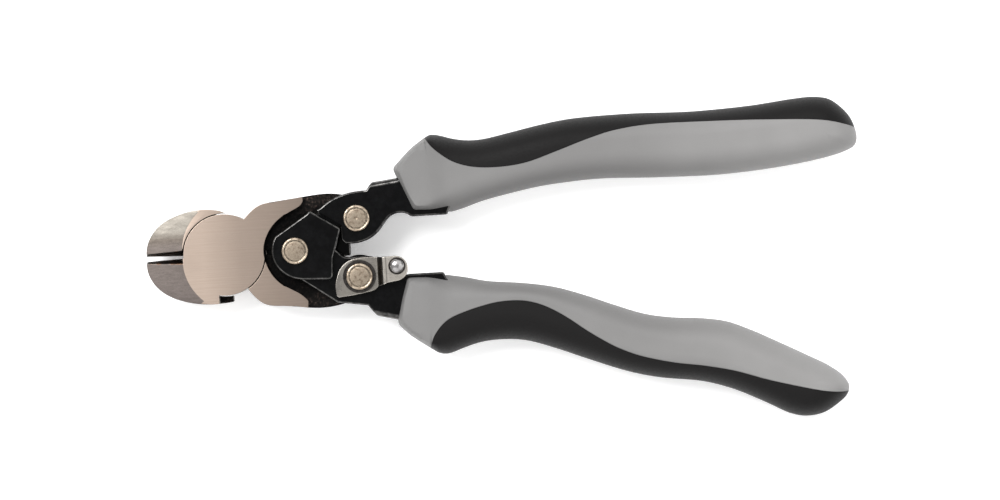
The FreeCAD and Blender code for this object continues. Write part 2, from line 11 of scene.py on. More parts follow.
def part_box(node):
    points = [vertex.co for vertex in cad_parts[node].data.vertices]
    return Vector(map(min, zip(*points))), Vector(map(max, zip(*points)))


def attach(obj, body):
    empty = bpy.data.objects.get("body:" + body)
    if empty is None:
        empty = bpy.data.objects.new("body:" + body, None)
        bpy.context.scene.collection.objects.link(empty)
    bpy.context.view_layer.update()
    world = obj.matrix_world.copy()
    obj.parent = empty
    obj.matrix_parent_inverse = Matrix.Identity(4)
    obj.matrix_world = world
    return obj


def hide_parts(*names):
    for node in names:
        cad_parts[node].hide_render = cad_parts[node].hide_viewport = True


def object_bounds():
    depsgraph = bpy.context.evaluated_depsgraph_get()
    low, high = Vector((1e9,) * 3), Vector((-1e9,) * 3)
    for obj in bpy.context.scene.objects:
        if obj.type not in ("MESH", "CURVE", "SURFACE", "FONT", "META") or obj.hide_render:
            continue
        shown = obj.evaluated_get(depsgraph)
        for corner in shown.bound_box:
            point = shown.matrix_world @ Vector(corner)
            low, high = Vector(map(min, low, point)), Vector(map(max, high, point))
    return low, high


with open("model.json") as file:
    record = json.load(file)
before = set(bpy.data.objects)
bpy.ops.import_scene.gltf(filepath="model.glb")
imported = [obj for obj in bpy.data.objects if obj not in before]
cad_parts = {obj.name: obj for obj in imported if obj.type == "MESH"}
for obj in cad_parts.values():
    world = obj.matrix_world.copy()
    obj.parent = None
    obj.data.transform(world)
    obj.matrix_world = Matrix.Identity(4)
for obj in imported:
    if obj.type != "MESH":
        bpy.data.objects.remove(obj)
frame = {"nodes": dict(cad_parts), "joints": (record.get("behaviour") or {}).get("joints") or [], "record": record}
cad_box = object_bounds()

MM = 0.001
JOINTS = {joint["name"]: Vector(joint["pos_m"]) for joint in frame["joints"]}
HEAD = JOINTS["jaw_pivot"]               # main pivot, in the middle plane of the tool
MIDDLE = HEAD.z
NODE_BODY = {node: body for body, nodes in frame["record"]["behaviour"]["bodies"].items()
             for node in nodes}


# ---------------------------------------------------------------- lines in plan, in millimetres

def blend_step(value, low, high):
    """A smooth step from 0 to 1 between two values."""
    share = min(1.0, max(0.0, (value - low) / (high - low)))
    return share * share * (3 - 2 * share)


def curve_through(points, step=0.8):
    """A smooth line through the points: centripetal Catmull-Rom, about `step` mm apart."""
    points = [np.array(point, float) for point in points]
    padded = [2 * points[0] - points[1]] + points + [2 * points[-1] - points[-2]]
    line = []
    for before, start, end, after in zip(padded, padded[1:], padded[2:], padded[3:]):
        knots = [0.0]
        for left, right in ((before, start), (start, end), (end, after)):
            knots.append(knots[-1] + math.sqrt(np.linalg.norm(right - left)))
        count = max(2, round(np.linalg.norm(end - start) / step))
        for index in range(count):
            at = knots[1] + (knots[2] - knots[1]) * index / count

            def between(a, b, low, high):
                share = (at - low) / (high - low)
                return a * (1 - share) + b * share
            first = between(before, start, knots[0], knots[1])
            second = between(start, end, knots[1], knots[2])
            third = between(end, after, knots[2], knots[3])
            left = between(first, second, knots[0], knots[2])
            right = between(second, third, knots[1], knots[3])
            line.append(between(left, right, knots[1], knots[2]))
    line.append(points[-1])
    return np.array(line)


def rounded_corner(line_a, corner, line_b, radius):
    """Points round a corner between two neighbours, for the front of a grip."""
    corner = np.array(corner, float)
    ends = []
    for other in (line_a, line_b):
        way = np.array(other, float) - corner
        ends.append(corner + way / np.linalg.norm(way) * radius)
    shares = np.linspace(0, 1, 6)
    return [(1 - s) ** 2 * ends[0] + 2 * s * (1 - s) * corner + s * s * ends[1] for s in shares]


def refined(line, spots, reach=2, parts=8):
    """The closed line with the stretches beside each numbered segment cut finer."""
    count = len(line) - 1
    fine = {(spot + shift) % count for spot in spots for shift in range(-reach, reach + 1)}
    points = []
    for index in range(count):
        steps = parts if index in fine else 1
        for step in range(steps):
            points.append(line[index] + (line[index + 1] - line[index]) * step / steps)
    points.append(line[-1])
    return np.array(points)


def crossings(start, way, line):
    """How far from start, along way, the polyline is crossed, nearest first."""
    found = []
    for left, right in zip(line[:-1], line[1:]):
        side = right - left
        turn = way[0] * side[1] - way[1] * side[0]
        if abs(turn) < 1e-12:
            continue
        gap = left - start
        along = (gap[0] * side[1] - gap[1] * side[0]) / turn
        share = (gap[0] * way[1] - gap[1] * way[0]) / turn
        if along > 1e-6 and -1e-6 <= share <= 1 + 1e-6:
            found.append(along)
    return sorted(found)


# ---------------------------------------------------------------- materials

class Shader:
    """A node material, built by short calls."""

    def __init__(self, name):
        self.material = bpy.data.materials.new(name)
        self.material.use_nodes = True
        self.nodes = self.material.node_tree.nodes
        self.links = self.material.node_tree.links
        self.surface = self.nodes["Principled BSDF"]
        self.place = self.nodes.new("ShaderNodeTexCoord").outputs["Object"]

    def set(self, **values):
        """Sets the surface's own sockets; an underscore stands for a space."""
        for name, value in values.items():
            self.surface.inputs[name.replace("_", " ")].default_value = value
        return self

    def link(self, output, socket):
        self.links.new(output, self.surface.inputs[socket])

    def stretched(self, scale, turn=0.0):
        """Object coordinates in millimetres, stretched per axis and turned about Z."""
        mapping = self.nodes.new("ShaderNodeMapping")
        mapping.inputs["Scale"].default_value = [value / MM for value in scale]
        mapping.inputs["Rotation"].default_value = (0, 0, math.radians(turn))
        self.links.new(self.place, mapping.inputs["Vector"])
        return mapping.outputs["Vector"]

    def noise(self, scale, detail=3.0, roughness=0.55, turn=0.0):
        """Soft noise; scale is in waves per millimetre, one value or one per axis."""
        texture = self.nodes.new("ShaderNodeTexNoise")
        texture.inputs["Scale"].default_value = 1.0
        texture.inputs["Detail"].default_value = detail
        texture.inputs["Roughness"].default_value = roughness
        if isinstance(scale, (int, float)):
            scale = (scale, scale, scale)
        self.links.new(self.stretched(scale, turn), texture.inputs["Vector"])
        return texture.outputs["Fac"]

    def along(self, axis, start, end):
        """From 0 to 1 between two places on an axis of the tool, in millimetres."""
        parts = self.nodes.new("ShaderNodeSeparateXYZ")
        self.links.new(self.place, parts.inputs["Vector"])
        return self.spread(parts.outputs[axis], 0.0, 1.0, start * MM, end * MM)

    def shaded(self, colour, shades):
        """The colour darkened along axes; a shade is (axis, start, end, stops)."""
        for axis, start, end, stops in shades:
            colour = self.mix(1.0, colour, self.fade(self.along(axis, start, end), stops),
                              "MULTIPLY")
        return colour

    def spots(self, scale):
        """The distance to scattered points, scale points per millimetre."""
        texture = self.nodes.new("ShaderNodeTexVoronoi")
        texture.inputs["Scale"].default_value = 1.0
        self.links.new(self.stretched((scale, scale, scale)), texture.inputs["Vector"])
        return texture.outputs["Distance"]

    def fade(self, value, stops):
        """A colour ramp; stops are (position, colour or grey)."""
        ramp = self.nodes.new("ShaderNodeValToRGB")
        elements = ramp.color_ramp.elements
        while len(elements) < len(stops):
            elements.new(0.5)
        for element, (position, colour) in zip(elements, stops):
            if isinstance(colour, (int, float)):
                colour = (colour, colour, colour)
            element.position = position
            element.color = (*colour, 1.0)
        self.links.new(value, ramp.inputs["Fac"])
        return ramp.outputs["Color"]

    def spread(self, value, low, high, start=0.0, end=1.0):
        """A value mapped from start..end to low..high."""
        node = self.nodes.new("ShaderNodeMapRange")
        node.inputs["From Min"].default_value = start
        node.inputs["From Max"].default_value = end
        node.inputs["To Min"].default_value = low
        node.inputs["To Max"].default_value = high
        self.links.new(value, node.inputs["Value"])
        return node.outputs["Result"]

    def add(self, first, second):
        node = self.nodes.new("ShaderNodeMath")
        node.operation = "ADD"
        self.links.new(first, node.inputs[0])
        self.links.new(second, node.inputs[1])
        return node.outputs["Value"]

    def mix(self, factor, first, second, blend="MIX"):
        """A colour mix; factor is a value or an output."""
        node = self.nodes.new("ShaderNodeMix")
        node.data_type = "RGBA"
        node.blend_type = blend
        if isinstance(factor, (int, float)):
            node.inputs["Factor"].default_value = factor
        else:
            self.links.new(factor, node.inputs["Factor"])
        colours = [item for item in node.inputs if item.type == "RGBA"]
        for socket, source in zip(colours, (first, second)):
            if isinstance(source, tuple):
                socket.default_value = (*source, 1.0)
            else:
                self.links.new(source, socket)
        return next(item for item in node.outputs if item.type == "RGBA")

    def bump(self, height, depth):
        """Relief this deep, in millimetres."""
        node = self.nodes.new("ShaderNodeBump")
        node.inputs["Strength"].default_value = 1.0
        node.inputs["Distance"].default_value = depth * MM
        self.links.new(height, node.inputs["Height"])
        self.links.new(node.outputs["Normal"], self.surface.inputs["Normal"])


def brushed_steel(name, light, dark, along, turn=0.0, rough=0.42, grain=0.0035, shades=()):
    """Ground steel with fine straight grain; `along` is the grain's length in millimetres."""
    shader = Shader(name).set(Metallic=1.0)
    fine = shader.noise((1 / along, 9.0, 9.0), detail=4.0, turn=turn)
    broad = shader.noise((0.25 / along, 1.6, 1.6), detail=2.0, turn=turn)
    stain = shader.noise(0.10, detail=3.0)
    tone = shader.add(shader.spread(fine, 0.0, 0.6), shader.spread(broad, 0.0, 0.4))
    colour = shader.fade(tone, ((0.30, dark), (0.68, light)))
    worn = shader.mix(shader.spread(stain, 0.0, 0.35, 0.45, 0.8), colour, dark)
    shader.link(shader.shaded(worn, shades), "Base Color")
    shader.link(shader.spread(tone, rough + 0.10, rough - 0.06, 0.3, 0.7), "Roughness")
    shader.bump(fine, grain)
    return shader.material


def forged_black(name):
    """Rough black scale left on the forging, rubbed brown at the tails' outer ends; in between, down in the recess
    by the plates, it is darkened further as painted shade.
    """
    shader = Shader(name).set(Metallic=0.6, Specular_IOR_Level=0.08)
    lumps = shader.noise(1.2, detail=5.0, roughness=0.6)
    colour = shader.fade(lumps, ((0.35, (0.003, 0.003, 0.003)), (0.56, (0.012, 0.010, 0.009)),
                                 (0.74, (0.085, 0.060, 0.050))))
    brown_ends_recess_shade = (("Y", -18.0, 18.0, ((0.0, 0.8), (0.10, 0.6), (0.20, 0.12), (0.78, 0.12),
                                  (0.88, 1.0), (1.0, 1.0))),)
    shader.link(shader.shaded(colour, brown_ends_recess_shade), "Base Color")
    shader.link(shader.spread(lumps, 0.58, 0.30, 0.3, 0.75), "Roughness")
    shader.bump(lumps, 0.14)
    return shader.material


def bevel_dark(name):
    """Hardened cutting strips, painted dark as the shade on their steep faces, with a brown tinge."""
    shader = Shader(name).set(Metallic=1.0)
    streaks = shader.noise((0.25, 3.0, 3.0), detail=3.0)
    tinge = shader.noise(0.35, detail=2.0)
    colour = shader.fade(streaks, ((0.35, (0.036, 0.031, 0.028)), (0.7, (0.12, 0.105, 0.097))))
    brown = shader.mix(shader.spread(tinge, 0.0, 0.8, 0.48, 0.60), colour, (0.125, 0.064, 0.036))
    shader.link(brown, "Base Color")
    shader.link(shader.spread(streaks, 0.42, 0.26, 0.3, 0.7), "Roughness")
    shader.bump(streaks, 0.01)
    return shader.material


def gloss_black(name):
    """Black enamel over stamped sheet, with faint orange peel."""
    shader = Shader(name).set(Coat_Weight=0.07, Coat_Roughness=0.06, Specular_IOR_Level=0.07)
    peel = shader.noise(0.7, detail=2.0)
    dust = shader.noise(0.35, detail=5.0, roughness=0.7)
    colour = shader.fade(dust, ((0.40, (0.0018, 0.0018, 0.0019)), (0.75, (0.004, 0.004, 0.0043))))
    shader.link(colour, "Base Color")
    shader.link(shader.spread(dust, 0.12, 0.26, 0.35, 0.75), "Roughness")
    shader.bump(peel, 0.004)
    return shader.material


def edge_highlight_finish(name):
    """A lighter metallic finish along the edges of the stampings: painted highlight lines on them."""
    shader = Shader(name).set(Metallic=1.0)
    highlight_mottle = shader.noise(0.6, detail=5.0, roughness=0.65)
    colour = shader.fade(highlight_mottle, ((0.35, (0.020, 0.020, 0.020)), (0.66, (0.115, 0.111, 0.107))))
    shader.link(colour, "Base Color")
    shader.link(shader.spread(highlight_mottle, 0.24, 0.14, 0.35, 0.7), "Roughness")
    shader.bump(highlight_mottle, 0.004)
    return shader.material


def plated(name, light, dark, rough, lump=0.9, depth=0.03, shades=()):
    """Tumbled and plated steel: mottled, with small dents."""
    shader = Shader(name).set(Metallic=1.0)
    mottle = shader.noise(lump, detail=4.0, roughness=0.6)
    pits = shader.spots(2.2)
    colour = shader.fade(mottle, ((0.34, dark), (0.60, light)))
    shader.link(shader.shaded(colour, shades), "Base Color")
    shader.link(shader.spread(mottle, rough + 0.16, rough, 0.35, 0.65), "Roughness")
    dents = shader.add(mottle, shader.spread(pits, 0.0, 0.5))
    shader.bump(dents, depth)
    return shader.material


def moulded(name, base, rough, grain, depth, sheen=0.0, gloss=0.3, shades=()):
    """Matte moulded plastic or rubber with a fine spark-eroded texture."""
    dark = tuple(0.95 * value for value in base)
    light = tuple(1.04 * value for value in base)
    shader = Shader(name).set(Sheen_Weight=sheen, Sheen_Roughness=0.4, Specular_IOR_Level=gloss)
    texture = shader.noise(grain, detail=2.0)
    cloud = shader.noise(0.045, detail=3.0)
    colour = shader.fade(cloud, ((0.35, dark), (0.65, light)))
    shader.link(shader.shaded(colour, shades), "Base Color")
    shader.link(shader.spread(texture, rough - 0.06, rough + 0.08, 0.35, 0.65), "Roughness")
    shader.bump(texture, depth)
    return shader.material


# Shades, as (axis, start, end, stops), with the places in millimetres.
# Painted shade darkens the flats towards the handles.
FLATS_SHADED_TOWARDS_HANDLES = (("X", -6.0, 24.0, ((0.0, 0.92), (0.36, 0.65), (1.0, 0.44))),)
# Painted light and shade on the blades: the lower blade and the upper blade's edge side are painted darker, the
# upper blade's outer part stays bright as a painted highlight, and both darken a little towards the disc.
BLADE_LIGHT_AND_SHADE = (("Y", -10.0, 10.0, ((0.0, (0.63, 0.585, 0.62)), (0.66, (0.58, 0.54, 0.56)),
                            (0.755, (0.52, 0.48, 0.47)), (0.88, 1.0))),
         ("X", -17.0, -10.0, ((0.0, 1.0), (1.0, 0.90))))
# The latch's plate is painted darker than its tab, and painted shade lies across its two bends as a broad dark
# band and a thin dark line.
LATCH_TONE_AND_BEND_SHADE = (("X", 43.2, 46.3, ((0.0, 0.60), (0.10, 0.14), (0.52, 0.10), (0.64, 1.0), (0.80, 1.0),
                             (0.87, 0.35), (0.95, 1.0))),)
FLAT_STEEL = brushed_steel("ground_flat", (0.457, 0.370, 0.309), (0.346, 0.275, 0.227), along=9.0,
                           shades=FLATS_SHADED_TOWARDS_HANDLES)
BLADE_STEEL = brushed_steel("ground_blade", (0.290, 0.266, 0.233), (0.175, 0.161, 0.140),
                            along=5.0, turn=84.0, rough=0.50, shades=BLADE_LIGHT_AND_SHADE)
EDGE_STEEL = brushed_steel("ground_edge", (0.27, 0.256, 0.232), (0.16, 0.152, 0.14), along=3.0)
SCALE = forged_black("forged_scale")
BEVEL = bevel_dark("cutting_strip")
ENAMEL = gloss_black("black_enamel")
EDGE_HIGHLIGHT = edge_highlight_finish("painted_edge_highlight")
NICKEL = plated("nickel_rivet", (0.53, 0.44, 0.34), (0.16, 0.122, 0.09), rough=0.22, depth=0.014)
GROOVE_SHADE = plated("groove_painted_shade", (0.20, 0.165, 0.125), (0.018, 0.015, 0.012), rough=0.34,
                 lump=1.4)
ZINC = plated("bright_latch", (0.53, 0.495, 0.45), (0.36, 0.335, 0.30), rough=0.20, lump=0.4,
              depth=0.012, shades=LATCH_TONE_AND_BEND_SHADE)
CHROME = plated("polished_stud", (0.40, 0.39, 0.385), (0.26, 0.25, 0.25), rough=0.14, lump=0.3,
                depth=0.0)
# Near black for the washer and the stud's seat: painted shadow.
PAINTED_SHADOW_DARK = plated("painted_shadow_dark", (0.045, 0.041, 0.038), (0.014, 0.0125, 0.012), rough=0.34)
TURNED = plated("turned_pin", (0.48, 0.465, 0.44), (0.335, 0.32, 0.305), rough=0.26, lump=0.5)
SPRING = plated("spring_wire", (0.24, 0.24, 0.25), (0.145, 0.145, 0.15), rough=0.28)
# The grips are painted a little darker in front: painted shade for the light falling off along them.
GRIP_FRONT_SHADE = (("X", 50.0, 180.0, ((0.0, 0.73), (0.5, 0.79), (0.92, 1.0))),)
GREY = moulded("grey_moulding", (0.199, 0.196, 0.193), rough=0.60, grain=2.6, depth=0.012,
               shades=GRIP_FRONT_SHADE)
BLACK = moulded("black_overlay", (0.0067, 0.0063, 0.0063), rough=0.56, grain=2.2, depth=0.02,
                sheen=0.015, gloss=0.10)


# ---------------------------------------------------------------- pieces refined from the CAD

def finish_piece(piece, nodes):
    """Rides the piece on the body of the nodes that it replaces."""
    first = nodes[0]
    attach(piece, NODE_BODY[first])
    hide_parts(*nodes)
    return piece


def new_piece(name, mesh, materials):
    piece = bpy.data.objects.new(name, mesh)
    bpy.context.scene.collection.objects.link(piece)
    for material in materials:
        mesh.materials.append(material)
    return piece


def smooth_by_angle(mesh, degrees):
    mesh.polygons.foreach_set("use_smooth", [True] * len(mesh.polygons))
    mesh.set_sharp_from_angle(angle=math.radians(degrees))


def flat_faces(piece):
    """Keeps the flats flat to the eye beside their narrow roundings."""
    modifier = piece.modifiers.new("flat_faces", "WEIGHTED_NORMAL")
    modifier.keep_sharp = True
    return modifier


WELD = 0.002 * MM                        # points this near are one point
COPLANAR = math.radians(0.8)             # faces that differ by less are one face
SHARP = math.radians(28)                 # edges that turn by more are rounded off
BEND_RADIUS = 1.5                        # of the bends in the sheet, in millimetres


def softened(node, radius, materials, choose=None, segments=2, seen=None, rim=-1, bent=None):
    """The node's own shape with its sharp outer edges rounded off.

    choose gives a face's material, rim is the material of the roundings (-1: their neighbours'),
    seen says which edges are worth rounding, and bent which are bends of the sheet, with a wide
    rounding.
    """
    mesh = frame["nodes"][node].data.copy()
    mesh.materials.clear()
    tidy = bmesh.new()
    tidy.from_mesh(mesh)
    for face in tidy.faces:
        face.material_index = 0
    bmesh.ops.remove_doubles(tidy, verts=tidy.verts, dist=WELD)
    bmesh.ops.dissolve_limit(tidy, angle_limit=COPLANAR, verts=tidy.verts, edges=tidy.edges)
    skin = BVHTree.FromBMesh(tidy)
    if bent:
        bmesh.ops.bevel(tidy, geom=[edge for edge in tidy.edges if bent(edge)],
                        offset=BEND_RADIUS * MM, offset_type="OFFSET", segments=6, profile=0.5,
                        affect="EDGES", clamp_overlap=False, material=rim)
    sharp = [edge for edge in tidy.edges
             if edge.is_manifold and edge.calc_face_angle(0.0) > SHARP
             and edge.is_convex and (seen is None or seen(edge))]
    bmesh.ops.bevel(tidy, geom=sharp, offset=radius * MM, offset_type="OFFSET",
                    segments=segments, profile=0.5, affect="EDGES", clamp_overlap=False,
                    material=rim)
    # A rounding that ran out past the old skin is brought back to it.
    for vert in tidy.verts:
        place, normal, _, gap = skin.find_nearest(vert.co)
        if gap > 0.5 * radius * MM and (vert.co - place).dot(normal) > 0:
            vert.co = place
    tidy.normal_update()
    if choose:
        for face in tidy.faces:
            face.material_index = choose(face)
    tidy.to_mesh(mesh)
    tidy.free()
    for key in list(mesh.attributes.keys()):
        if key.startswith("custom_normal"):
            mesh.attributes.remove(mesh.attributes[key])
    piece = new_piece(node + "_detail", mesh, materials)
    smooth_by_angle(mesh, 32)
    flat_faces(piece).weight = 80
    return finish_piece(piece, [node])


# Places on the jaws, in millimetres from the main pivot.
GRIND_RADIUS = 15.4                      # the blades are ground outside this circle
DISC_RADIUS = 12.0
STRIP_END = -8.0                         # the cutting strips end here, at the disc
STRIP_REACH = 3.2                        # how far they reach to each side
GRIND_END = 2.0
SIDES_END = 8.0                          # forward of here the sides are ground too
RECESS_START, TAIL_START = 9.0, 19.0
FLAT_LEVEL = abs(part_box("jaw_front")[1].z - MIDDLE) / MM

JAW_FINISHES = (FLAT_STEEL, BLADE_STEEL, EDGE_STEEL, BEVEL, SCALE)
ON_FLAT, ON_BLADE, ON_EDGE, ON_STRIP, ON_SCALE = range(5)


def above_the_recess(edge):
    """All of a jaw's edges but its cutting edge and those down in the recess."""
    ends = [vert.co / MM for vert in edge.verts]
    heights = [abs(end.z - MIDDLE / MM) for end in ends]
    middle = (ends[0] + ends[1]) / 2
    at_the_cut = abs(middle.y) < 1.5 and abs(middle.z - MIDDLE / MM) < 0.4
    if middle.x < -DISC_RADIUS and at_the_cut:
        return False
    if min(end.x for end in ends) < RECESS_START:
        return True
    if max(end.x for end in ends) > TAIL_START:
        return False
    return min(heights) > FLAT_LEVEL - 0.1


def jaw_finish(flip):
    """Which finish a face of a jaw has, from its place and the way it looks."""
    grind_centre = Vector((3.5, flip * -1.0))

    def choose(face):
        centre = (face.calc_center_median() - HEAD) / MM
        height = abs(centre.z)
        aslant, upright = abs(face.normal.y), abs(face.normal.z)
        flat = upright > 0.9
        # Flat faces at the middle plane, the laps, get the dark scale: they are unground, and the dark is also
        # painted shade where a lap shows beside the heel.
        if flat and height < 0.2:
            return ON_SCALE
        if flat and height > FLAT_LEVEL - 0.2:
            return ON_FLAT
        if centre.x < STRIP_END and abs(centre.y) < STRIP_REACH and aslant > 0.3 and upright > 0.1:
            return ON_STRIP
        outside = (centre.xy - grind_centre).length > GRIND_RADIUS - 0.3
        if centre.x < GRIND_END and outside and upright > 0.4:
            return ON_BLADE
        if centre.x < SIDES_END or centre.xy.length < DISC_RADIUS:
            return ON_EDGE
        return ON_SCALE
    return choose


softened("jaw_front", 0.16, JAW_FINISHES, jaw_finish(1), seen=above_the_recess)
softened("jaw_rear", 0.16, JAW_FINISHES, jaw_finish(-1), seen=above_the_recess)


FLANGE_START, FLANGE_END = 42.0, 81.0    # the bends lie between these places, in millimetres
FLANGE_SIDE = 17.8                       # and outside this one


def sheet_bend(side):
    """Picks the edges where a frame's web meets its flanges, in front of the grip."""
    def bent(edge):
        first, last = (vert.co / MM for vert in edge.verts)
        low, high = sorted((first.x, last.x))
        outside = min(side * first.y, side * last.y) > FLANGE_SIDE
        along = high - low > 4 and low > FLANGE_START and high < FLANGE_END
        level = abs(first.z - last.z) < 0.1
        folded = edge.is_manifold and edge.is_convex and edge.calc_face_angle(0.0) > 1.0
        return outside and along and level and folded
    return bent


# The frames' roundings take the lighter edge finish, painted highlight lines.
softened("upper_handle_frame", 0.48, (ENAMEL, EDGE_HIGHLIGHT), segments=3, rim=1, bent=sheet_bend(1))
softened("lower_handle_frame", 0.48, (ENAMEL, EDGE_HIGHLIGHT), segments=3, rim=1, bent=sheet_bend(-1))
# The washer is painted dark: painted shadow in the ring round the rivet head.
softened("latch_washer", 0.08, (PAINTED_SHADOW_DARK,))
softened("main_pivot_pin", 0.10, (TURNED,))
softened("center_spacer", 0.15, (TURNED,))
spring_mesh = frame["nodes"]["return_spring"].data
spring_mesh.materials.clear()
spring_mesh.materials.append(SPRING)


# ---------------------------------------------------------------- turned pieces and the latch

FACETS = 72


def lathe(node, name, profile, materials, dark_band, uneven=0.0):
    """A turned solid about the node's upright axis; the profile is (radius, height) in mm.

    Level faces whose middle lies within the given range of radii get the second material, which is painted shade
    there.
    uneven is how far the hammered surface departs from a true one, in mm.
    """
    low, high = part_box(node)
    centre = (low + high) / 2
    maker = bmesh.new()
    rings = []
    for radius, height in profile:
        if radius == 0:
            rings.append([maker.verts.new((centre.x, centre.y, MIDDLE + height * MM))])
            continue
        ring = []
        for index in range(FACETS):
            turn = math.tau * index / FACETS
            wobble = uneven * math.sin(3 * turn + 2.1 * radius) * math.sin(2 * turn + radius)
            ring.append(maker.verts.new((centre.x + radius * MM * math.cos(turn),
                                         centre.y + radius * MM * math.sin(turn),
                                         MIDDLE + (height + wobble) * MM)))
        rings.append(ring)
    for inner, outer in zip(rings, rings[1:]):
        for index in range(FACETS):
            after = (index + 1) % FACETS
            if len(inner) == 1:
                maker.faces.new((inner[0], outer[index], outer[after]))
            elif len(outer) == 1:
                maker.faces.new((inner[index], inner[after], outer[0]))
            else:
                maker.faces.new((inner[index], inner[after], outer[after], outer[index]))
    bmesh.ops.recalc_face_normals(maker, faces=maker.faces)
    for face in maker.faces:
        middle = face.calc_center_median() - centre
        upright = abs(face.normal.z) > 0.3
        if upright and dark_band[0] < middle.xy.length / MM < dark_band[1]:
            face.material_index = 1
    mesh = bpy.data.meshes.new(name)
    maker.to_mesh(mesh)
    maker.free()
    smooth_by_angle(mesh, 40)
    return finish_piece(new_piece(name, mesh, materials), [node])


SHANK_RADIUS = 2.5
HEAD_RADIUS = 3.8
HEAD_HEIGHT = 1.0
GROOVE_RADII = (2.75, 3.18)              # the groove inside a head's rim, painted dark as the shade in it


def rivet_head(base, top, dimple):
    """Profile of a formed head from its foot to its middle: rolled rim, groove, flat face."""
    edge = HEAD_RADIUS
    steps = [(edge, 0.0), (edge, 0.50), (edge - 0.03, 0.68), (edge - 0.12, 0.85),
             (edge - 0.26, 0.96), (edge - 0.40, 1.0), (edge - 0.54, 0.97), (edge - 0.66, 0.88),
             (edge - 0.76, 0.82), (edge - 0.92, 0.80), (edge - 1.10, 0.83), (edge - 1.6, 0.87),
             (edge - 2.4, 0.90), (0.45, 0.91)]
    steps += [(0.30, 0.90), (0.26, 0.35), (0.0, 0.30)] if dimple else [(0.0, 0.92)]
    return [(radius, base + share * (top - base)) for radius, share in steps]


def build_rivet(node, dimple=False):
    """A rivet with a rolled rim round each head."""
    low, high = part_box(node)
    bottom, top = (low.z - MIDDLE) / MM, (high.z - MIDDLE) / MM
    rear_foot, front_foot = bottom + HEAD_HEIGHT, top - HEAD_HEIGHT
    front = rivet_head(front_foot, top, dimple)
    rear = rivet_head(rear_foot, bottom, False)
    profile = rear[::-1] + [(SHANK_RADIUS, rear_foot), (SHANK_RADIUS, front_foot)] + front
    lathe(node, node + "_formed", profile, (NICKEL, GROOVE_SHADE), GROOVE_RADII, uneven=0.008)


build_rivet("center_rivet")
build_rivet("upper_link_rivet", dimple=True)
build_rivet("lower_link_rivet")


def build_stud():
    """A polished dome that stands in a seat on the latch's tab; the seat is painted dark as the shadow round the
    dome.
    """
    foot = (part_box("latch_thumb_stud")[0].z - MIDDLE) / MM
    stem, dome, seat = 1.5, 2.05, 2.45
    sunk = 0.3
    spring = foot + 0.12                 # the level from which the dome rises
    rise = 1.15
    profile = [(0.0, foot - sunk), (stem, foot - sunk), (stem, foot), (seat, foot + 0.02),
               (seat - 0.06, foot + 0.13), (seat - 0.12, foot + 0.14), (dome, foot + 0.10)]
    for angle in range(9, 90, 9):
        turn = math.radians(angle)
        profile.append((dome * math.cos(turn), spring + rise * math.sin(turn)))
    profile.append((0.0, spring + rise))
    # The seat's ring is painted dark: painted shadow round the dome.
    seat_radii = (2.03, 2.5)
    lathe("latch_thumb_stud", "thumb_stud_dome", profile, (CHROME, PAINTED_SHADOW_DARK), seat_radii)


build_stud()


def build_latch():
    """The pressed plate, stepped up to its thumb tab by two soft bends."""
    low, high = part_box("latch_lever")
    thickness = 1.5
    rounding = 0.28
    rise = (high.z - low.z) / MM - thickness
    step_start, step_end = 43.2, 45.2
    cam = curve_through((
        (42.6, -2.95), (38.4, -2.95), (35.1, -3.75), (32.9, -5.6), (31.6, -8.4), (31.15, -11.0),
        (31.5, -13.6)))
    lower_edge = [(32.1, -13.95), (36.2, -13.55), (41.2, -12.75), (42.6, -12.3), (43.4, -11.5),
                  (44.6, -11.1), (46.4, -10.5)]
    tab = [(48.4 + 3.72 * math.cos(turn), -6.6 + 3.62 * math.sin(turn))
           for turn in map(math.radians, range(-88, 92, 11))]
    points = [*cam, *lower_edge, *tab, (46.2, -3.05), (44.4, -3.15)]
    maker = bmesh.new()
    face = maker.faces.new([maker.verts.new((x * MM, y * MM, low.z)) for x, y in points])
    raised = bmesh.ops.extrude_face_region(maker, geom=[face])
    for vert in [item for item in raised["geom"] if isinstance(item, bmesh.types.BMVert)]:
        vert.co.z += thickness * MM
    bmesh.ops.recalc_face_normals(maker, faces=maker.faces)
    rims = [edge for edge in maker.edges if abs(edge.verts[0].co.z - edge.verts[1].co.z) < 1e-9]
    bmesh.ops.bevel(maker, geom=rims, offset=rounding * MM, segments=3, profile=0.5, affect="EDGES",
                    clamp_overlap=True)
    bends = 14
    for index in range(bends + 1):
        cut_x = (step_start + (step_end - step_start) * index / bends) * MM
        bmesh.ops.bisect_plane(maker, geom=maker.verts[:] + maker.edges[:] + maker.faces[:],
                               plane_co=(cut_x, 0, 0), plane_no=(1, 0, 0))
    for vert in maker.verts:
        vert.co.z += rise * MM * blend_step(vert.co.x / MM, step_start, step_end)
    bmesh.ops.recalc_face_normals(maker, faces=maker.faces)
    mesh = bpy.data.meshes.new("latch_pressing")
    maker.to_mesh(mesh)
    maker.free()
    smooth_by_angle(mesh, 40)
    piece = new_piece("latch_pressing", mesh, (ZINC,))
    flat_faces(piece)
    finish_piece(piece, ["latch_lever"])


build_latch()


# ---------------------------------------------------------------- grips

